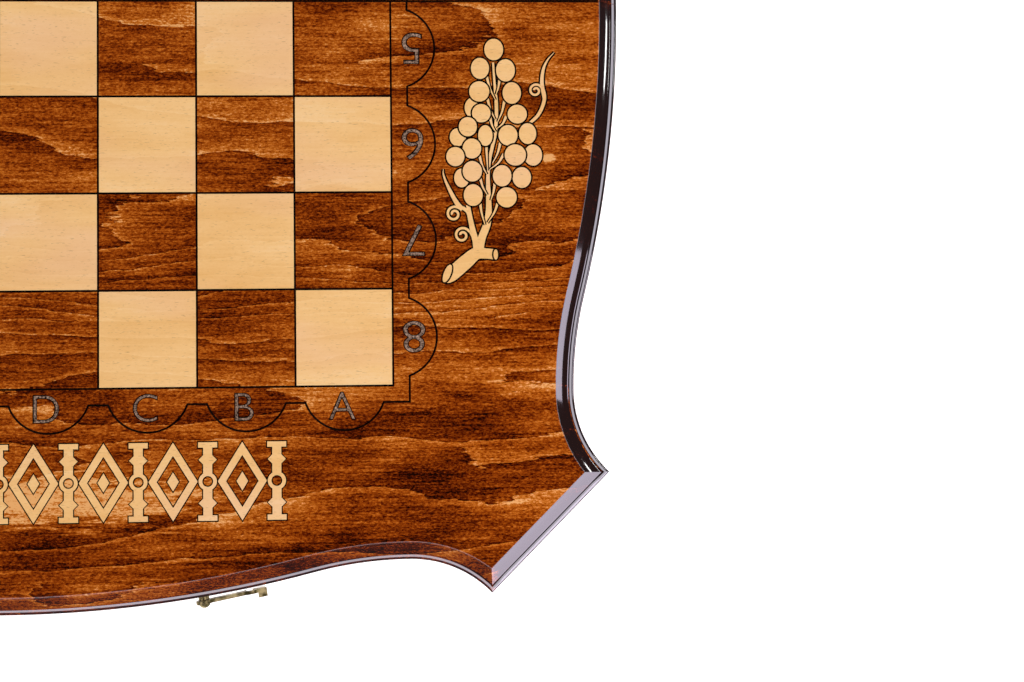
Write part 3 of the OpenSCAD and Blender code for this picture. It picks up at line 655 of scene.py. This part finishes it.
def mouldProfile():
    # (inset, depth below the top face): a softened step, a shallow cove on the chord from the step to the
    # quirk, and a low bead that turns down into the outer wall
    soft, width, bead, quirk = mould["soft"], mould["width"], mould["bead"], mould["quirk"]
    low = mould["step"] + mould["coveDepth"]
    a = np.linspace(0, np.pi / 2, 7)
    step = np.stack([width + soft * (1 - np.sin(a)), soft * (1 - np.cos(a))], 1)
    chord = np.array([width - bead, mould["coveDepth"]])
    lean, half = np.arctan2(chord[1], chord[0]), np.arcsin(np.hypot(*chord) / 2 / mould["coveRadius"])
    a = lean + half * np.linspace(1, -1, 20)
    arch = np.stack([np.sin(a) - np.sin(lean - half), np.cos(a) - np.cos(lean - half)], 1)
    cove = (bead, low) + mould["coveRadius"] * arch
    cove = cove[cove[:, 0] > bead + 1.2 * quirk]
    groove = np.array([[bead + 0.5 * quirk, low + 0.6 * quirk]])
    first, last = np.radians(mould["beadTilt"])
    a = np.linspace(first, last, 12)
    radius = (bead - mould["turn"]) / (np.sin(last) - np.sin(first))
    top = (bead, low) - radius * np.stack([np.sin(a) - np.sin(first), np.cos(a) - np.cos(first)], 1)
    a = np.linspace(last, np.pi / 2, 10)[1:]
    fall = np.stack([np.sin(last) - np.sin(a), np.cos(last) - np.cos(a)], 1)
    edge = top[-1:] + mould["turn"] / (1 - np.sin(last)) * fall
    thick = panelTop - panelLow
    a = np.linspace(0, np.pi / 2, 5)
    foot = np.stack([soft * (1 - np.cos(a)), thick - soft * (1 - np.sin(a))], 1)
    return np.concatenate([step, cove, groove, top, edge, foot])


# meshes: a flat face cut into its finishes, engraved lines sunk, closed below
def carvedFace(edge, shapes, depths, top, low, walled):
    # all shapes are laid into one triangulation, and each triangle takes the finish of the last shape over
    # it; where the depth changes between two triangles a wall joins them, and the outer edges that walled
    # picks have a wall down to low
    shapes = [(points if signedArea(points) > 0 else points[::-1], finish) for points, finish in shapes
              if abs(signedArea(points)) > 1e-4]
    polygons = [edge if signedArea(edge) > 0 else edge[::-1]] + [points for points, _ in shapes]
    finishes = np.array([groundWood] + [finish for _, finish in shapes])
    counts = np.array([len(points) for points in polygons])
    starts = np.concatenate([[0], np.cumsum(counts)[:-1]])
    faces = [list(range(start, start + count)) for start, count in zip(starts, counts)]
    insideOnly, tolerance = 1, 1e-4
    points, _, triangles, _, _, sources = delaunay_2d_cdt(
        [Vector(point) for point in np.concatenate(polygons)], [], faces, insideOnly, tolerance)
    points = np.array([tuple(point) for point in points])
    triangles = np.array(triangles)
    finish = finishes[[max(source) if source else 0 for source in sources]]
    depths = np.array(depths)
    depth = depths[finish]

    def at(vertex, level):
        return np.concatenate([points[vertex], np.full((len(vertex), 1), top) - level[:, None]], 1)

    verts = [at(triangles.ravel(), np.repeat(depth, 3))]
    faces = np.arange(triangles.size).reshape(-1, 3).tolist()
    materials = finish.tolist()
    # each edge of a triangle is matched with the same edge run the other way
    edges = np.concatenate([triangles[:, [0, 1]], triangles[:, [1, 2]], triangles[:, [2, 0]]])
    owner = np.tile(np.arange(len(triangles)), 3)
    total = len(points)
    keys, twins = edges[:, 0] * total + edges[:, 1], edges[:, 1] * total + edges[:, 0]
    order = np.argsort(keys)
    found = np.minimum(np.searchsorted(keys[order], twins), len(keys) - 1)
    matched = keys[order][found] == twins
    other = owner[order][found]
    here, there = depth[owner], depth[other]
    rim = ~matched & walled(points[edges[:, 0]], points[edges[:, 1]])
    # walls at the rim have a row of points at the deepest level, so that they meet the engraved lines
    deepest = depths.max()
    for chosen, up, down in ((matched & (there > here), here, there),
                             (rim & (here < deepest), here, deepest),
                             (rim, deepest, top - low)):
        first, second = edges[chosen].T
        up, down = (np.broadcast_to(level, len(edges))[chosen] for level in (up, down))
        quads = np.stack([at(first, up), at(first, down), at(second, down), at(second, up)], 1)
        faces += (sum(map(len, verts)) + np.arange(4 * len(quads)).reshape(-1, 4)).tolist()
        verts.append(quads.reshape(-1, 3))
        materials += np.where(rim[chosen], groundWood, finish[other[chosen]]).tolist()
    return np.concatenate(verts), faces, materials, points[np.unique(edges[rim])]


# in metres, how near two points are to be one and how short an edge is to be closed up; and in degrees,
# the angle between faces from which an edge is sharp
weld = dict(near=2e-6, short=1.5e-5, smoothAngle=32.0)


def weldedMesh(name, verts, faces, materials, finishes, turned):
    # equal points become one, millimetres become metres, normals turn outwards; turned is half a turn
    # about the upright axis
    verts = verts * (-1, -1, 1) if turned else verts
    _, index, inverse = np.unique(np.round(verts, 3), axis=0, return_index=True, return_inverse=True)
    inverse = inverse.ravel()
    corners = [[int(inverse[corner]) for corner in face] for face in faces]
    kept = [place for place, face in enumerate(corners) if len(set(face)) > 2]
    corners = [list(dict.fromkeys(corners[place])) for place in kept]
    mesh = bpy.data.meshes.new(name)
    mesh.from_pydata((verts[index] / 1000).tolist(), [], corners)
    mesh.polygons.foreach_set("material_index", [materials[place] for place in kept])
    for finish in finishes:
        mesh.materials.append(finish)
    build = bmesh.new()
    build.from_mesh(mesh)
    bmesh.ops.remove_doubles(build, verts=build.verts, dist=weld["near"])
    bmesh.ops.dissolve_degenerate(build, edges=build.edges, dist=weld["short"])
    bmesh.ops.recalc_face_normals(build, faces=build.faces)
    openEdges = sum(1 for edge in build.edges if len(edge.link_faces) != 2)
    build.to_mesh(mesh)
    build.free()
    mesh.polygons.foreach_set("use_smooth", [True] * len(mesh.polygons))
    mesh.set_sharp_from_angle(angle=np.radians(weld["smoothAngle"]))
    mesh.update()
    piece = bpy.data.objects.new(name, mesh)
    bpy.context.scene.collection.objects.link(piece)
    print(name, len(mesh.polygons), "faces,", openEdges, "open edges")
    return piece


def markEndGrain(mesh, top):
    # 1 where the edge faces along the grain (X) and 0 where it faces across it or lies on the flat top: the
    # square of the level normal's share along X, times 1.8 and at most 1; the flares beside the front
    # corners face inwards along X and stay 0
    places, normals = np.empty(len(mesh.vertices) * 3), np.empty(len(mesh.vertices) * 3)
    mesh.vertices.foreach_get("co", places)
    mesh.vertex_normals.foreach_get("vector", normals)
    places = places.reshape(-1, 3)
    x, y, _ = normals.reshape(-1, 3).T
    facing = np.minimum(1.0, 1.8 * x ** 2 / (x ** 2 + y ** 2 + 1e-9))
    facing[(x * places[:, 0] < 0) & (y * places[:, 1] > 0)] = 0.0
    facing[places[:, 2] > (top - 0.05) / 1000] = 0.0
    mesh.attributes.new("endGrain", "FLOAT", "POINT").data.foreach_set("value", facing.astype(np.float32))


# how deep the lines are engraved
carving = dict(face=0.5, field=0.35)


def facePanel(half):
    # the carved face, the moulding swept along the outline, both ends of it at the fold and the underside
    profile = mouldProfile()
    insets, drops = profile[:, 0], profile[:, 1]
    path = panelPath(insets)
    grid = np.concatenate([path, np.broadcast_to(panelTop - drops, path.shape[:2])[..., None]], -1)
    rows, columns = grid.shape[:2]
    x, y = grapes["place"]
    bunch = grapeBunch()
    shapes = chessField(half) + moved(bunch, shift=(x, y)) + moved(bunch, shift=(-x, y), mirrored=True)
    shapes = [(np.minimum(points, (np.inf, -seam)), finish) for points, finish in shapes + inlayBand()]

    def atFold(first, second):
        return (np.abs(first[:, 1] + seam) < 1e-6) & (np.abs(second[:, 1] + seam) < 1e-6)

    deep = carving["face"]
    verts, faces, materials, seamPoints = carvedFace(
        grid[:, 0, :2][::-1], shapes, [0.0, 0.0, deep, deep], panelTop, panelLow, atFold)
    number = len(verts) + np.arange(rows * columns).reshape(rows, columns)
    quads = np.stack([number[:-1, :-1], number[1:, :-1], number[1:, 1:], number[:-1, 1:]], -1)
    verts = np.concatenate([verts, grid.reshape(-1, 3)])
    faces += quads.reshape(-1, 4).tolist()
    # cove, bead, and past the bead's edge the finish with the painted shade
    inCove, inBead = insets[:-1] > mould["bead"], insets[1:] > mould["edge"]
    materials += np.tile(np.select([inCove, inBead], [coveWood, beadWood], paintedShadeEdgeWood), rows - 1).tolist()
    for row in (0, rows - 1):
        foot = [np.append(grid[row, 0, :2], level) for level in (panelLow, panelTop - deep)]
        verts = np.concatenate([verts, foot])
        faces.append(number[row].tolist() + [len(verts) - 2, len(verts) - 1])
        materials.append(coveWood)
    seamPoints = seamPoints[np.argsort(seamPoints[:, 0])]
    under = np.concatenate([grid[:, -1], np.column_stack([seamPoints, np.full(len(seamPoints), panelLow)])])
    faces.append((len(verts) + np.arange(len(under))).tolist())
    materials.append(groundWood)
    verts = np.concatenate([verts, under])
    piece = weldedMesh(half + "FacePanel", verts, faces, materials, boardFinishes, half == "far")
    markEndGrain(piece.data, panelTop)
    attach(piece, half + "_half")
    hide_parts(half + "_face_panel")


for half in ("near", "far"):
    facePanel(half)
print("face panels made")


# backgammon fields: six long points at each end of both trays, pale and dark in turn
backgammon = dict(rows=6, length=205.0, fill=0.94, line=0.9, tipDisc=3.2, tipGap=1.5)
fieldLook = dict(stainLook, roughness=0.42)
fieldGround = makeStained("fieldBeech", 23.0, dict(fieldLook, level=0.28))
darkPoint = makeStained("darkPointBeech", 29.0, dict(fieldLook, level=-0.10))
fieldFinishes = [fieldGround, bare, scorched, darkPoint]
darkWood = fieldFinishes.index(darkPoint)


def fieldPanel(half):
    low, high = (np.array(corner) * 1000 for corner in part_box("near_field_panel"))
    pitch = (high[1] - low[1]) / backgammon["rows"]
    line, length, radius = backgammon["line"], backgammon["length"], backgammon["tipDisc"]
    t = np.linspace(0, 1, 26)
    shapes = []
    for side in (-1, 1):
        for row in range(backgammon["rows"]):
            y = low[1] + (row + 0.5) * pitch
            finish = paleWood if (row + (side > 0)) % 2 else darkWood
            # half width falls slowly first and faster towards the tip
            for shrink, tone in ((0.0, burntLine), (line, finish)):
                width = np.maximum(backgammon["fill"] * pitch / 2 * (1 - t ** 1.25) - shrink, 0.0)
                x = side * (high[0] - (length - 3.0 * shrink) * t)
                upper, lower = np.stack([x, y + width], 1), np.stack([x, y - width], 1)[::-1]
                shapes.append((np.concatenate([upper, lower[1:]]), tone))
            tip = side * (high[0] - length - backgammon["tipGap"])
            shapes.append((disc(tip, y, radius + line, count=28), burntLine))
            shapes.append((disc(tip, y, radius, count=28), finish))
    edge = rectangle(low[0], low[1], high[0], high[1])

    def allRound(first, second):
        return np.ones(len(first), bool)

    verts, faces, materials, rimPoints = carvedFace(
        edge, shapes, [0.0, 0.0, carving["field"], 0.0], high[2], low[2], allRound)
    # the underside goes round the rim points in order of their angle about the middle
    middle = (low + high)[:2] / 2
    rimPoints = rimPoints[np.argsort(np.arctan2(*(rimPoints - middle).T[::-1]))]
    back = np.column_stack([rimPoints, np.full(len(rimPoints), low[2])])
    faces.append((len(verts) + np.arange(len(back))).tolist())
    materials.append(groundWood)
    verts = np.concatenate([verts, back])
    # the carved face looks down, at the table
    verts[:, 2] = low[2] + high[2] - verts[:, 2]
    piece = weldedMesh(half + "FieldPanel", verts, faces, materials, fieldFinishes, half == "far")
    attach(piece, half + "_half")
    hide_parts(half + "_field_panel")


for half in ("near", "far"):
    fieldPanel(half)
print("field panels made")


# finishes of the pieces that stay as they are
for name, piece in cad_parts.items():
    if name.endswith("_panel"):
        continue
    if name.endswith(("left_rail", "right_rail")):
        finish = railAcross
    elif name.endswith("rail"):
        finish = railAlong
    else:
        finish = brassFasteners if any(word in name for word in ("screws", "nails", "pin")) else brass
    for slot in piece.material_slots:
        slot.material = finish
print("finishes given")


# stage, lights and camera
stage = dict(size=8.0, floor=(0.80, 0.80, 0.81, 1.0), glow=0.86)
# how bright the world is for the wood and in the lacquer, and its tint
studio = dict(world=0.36, mirrored=1.8, tint=(0.94, 0.88, 1.0, 1.0))
# what the lacquer mirrors is kept apart from what lights the wood: a hidden lamp isn't seen in reflections
lamps = dict(
    softbox=dict(place=(1.15, -1.15, 0.55), size=(1.1, 1.05), power=11.0, tint=(0.92, 0.82, 1.0)),
    sidePanel=dict(place=(0.80, -0.205, 0.12), size=(0.07, 0.22), power=0.14, tint=(0.92, 0.82, 1.0)),
    fill=dict(place=(1.3, -1.0, 0.75), size=(1.5, 1.0), power=27.0, hidden=True),
    key=dict(place=(-1.5, 1.3, 1.2), size=(1.2, 1.0), power=49.0, hidden=True),
    strip=dict(place=(0.80, 0.095, 0.25), size=(0.09, 0.03), power=0.10))
view = dict(place=(0.22144, -0.18803, 0.6526), turn=(1.802, -2.464, -0.647), lens=44.376, sensor=36.0)


def makeFloor():
    # pale floor that looks white to the camera and in reflections
    mesh = bpy.data.meshes.new("floor")
    half = stage["size"] / 2
    corners = [(-half, -half, 0), (half, -half, 0), (half, half, 0), (-half, half, 0)]
    mesh.from_pydata(corners, [], [(0, 1, 2, 3)])
    material, tree, shader = newMaterial("paleFloor")
    shader.inputs["Base Color"].default_value = stage["floor"]
    shader.inputs["Roughness"].default_value = 0.9
    shader.inputs["Specular IOR Level"].default_value = 0.0
    rays = addNode(tree, "LightPath")
    seen = mathNode(tree, "MAXIMUM", rays.outputs["Is Glossy Ray"], rays.outputs["Is Transmission Ray"])
    seen = mathNode(tree, "MAXIMUM", rays.outputs["Is Camera Ray"], seen)
    glow = mathNode(tree, "MULTIPLY", seen, stage["glow"])
    shader.inputs["Emission Color"].default_value = (1, 1, 1, 1)
    tree.links.new(glow, shader.inputs["Emission Strength"])
    mesh.materials.append(material)
    floor = bpy.data.objects.new("floor", mesh)
    bpy.context.scene.collection.objects.link(floor)


def makeWorld():
    # a bright ring under a dark ceiling; the camera sees plain white
    world = bpy.data.worlds.new("studio")
    bpy.context.scene.world = world
    world.use_nodes = True
    tree = world.node_tree
    back = tree.nodes["Background"]
    coords = addNode(tree, "TexCoord")
    rise = addNode(tree, "SeparateXYZ", {0: coords.outputs["Generated"]}).outputs[2]
    ring = rampNode(tree, rise, [(0.0, 0.2), (0.08, 0.03), (0.62, 0.03), (0.68, 1.0), (0.86, 1.0),
                                 (0.89, 0.0)])
    rays = addNode(tree, "LightPath")
    shiny = mathNode(tree, "MAXIMUM", rays.outputs["Is Glossy Ray"], rays.outputs["Is Transmission Ray"])
    level = mathNode(tree, "MULTIPLY_ADD", shiny, studio["mirrored"] - studio["world"], studio["world"])
    level = mathNode(tree, "MULTIPLY", ring, level)
    level = mathNode(tree, "MAXIMUM", level, rays.outputs["Is Camera Ray"])
    tree.links.new(level, back.inputs["Strength"])
    colour = mixColour(tree, rays.outputs["Is Camera Ray"], studio["tint"], (1, 1, 1, 1))
    tree.links.new(colour, back.inputs["Color"])


def makeLamp(name, place, size, power, tint=(1.0, 1.0, 1.0), hidden=False):
    # a rectangle that faces the middle of the board
    lamp = bpy.data.lights.new(name, "AREA")
    lamp.shape = "RECTANGLE"
    lamp.size, lamp.size_y = size
    lamp.energy = power
    lamp.color = tint
    holder = bpy.data.objects.new(name, lamp)
    holder.location = place
    holder.rotation_euler = (-Vector(place)).to_track_quat("-Z", "Y").to_euler()
    holder.visible_glossy = not hidden
    bpy.context.scene.collection.objects.link(holder)


def makeCamera():
    data = bpy.data.cameras.new("camera")
    data.lens, data.sensor_width = view["lens"], view["sensor"]
    data.clip_start = 0.01
    camera = bpy.data.objects.new("camera", data)
    camera.location = view["place"]
    camera.rotation_euler = np.radians(view["turn"]).tolist()
    bpy.context.scene.collection.objects.link(camera)
    bpy.context.scene.camera = camera


makeFloor()
makeWorld()
for name, lamp in lamps.items():
    makeLamp(name, **lamp)
makeCamera()
bpy.context.scene.view_settings.view_transform = "Standard"

print("stage, lights and camera made")
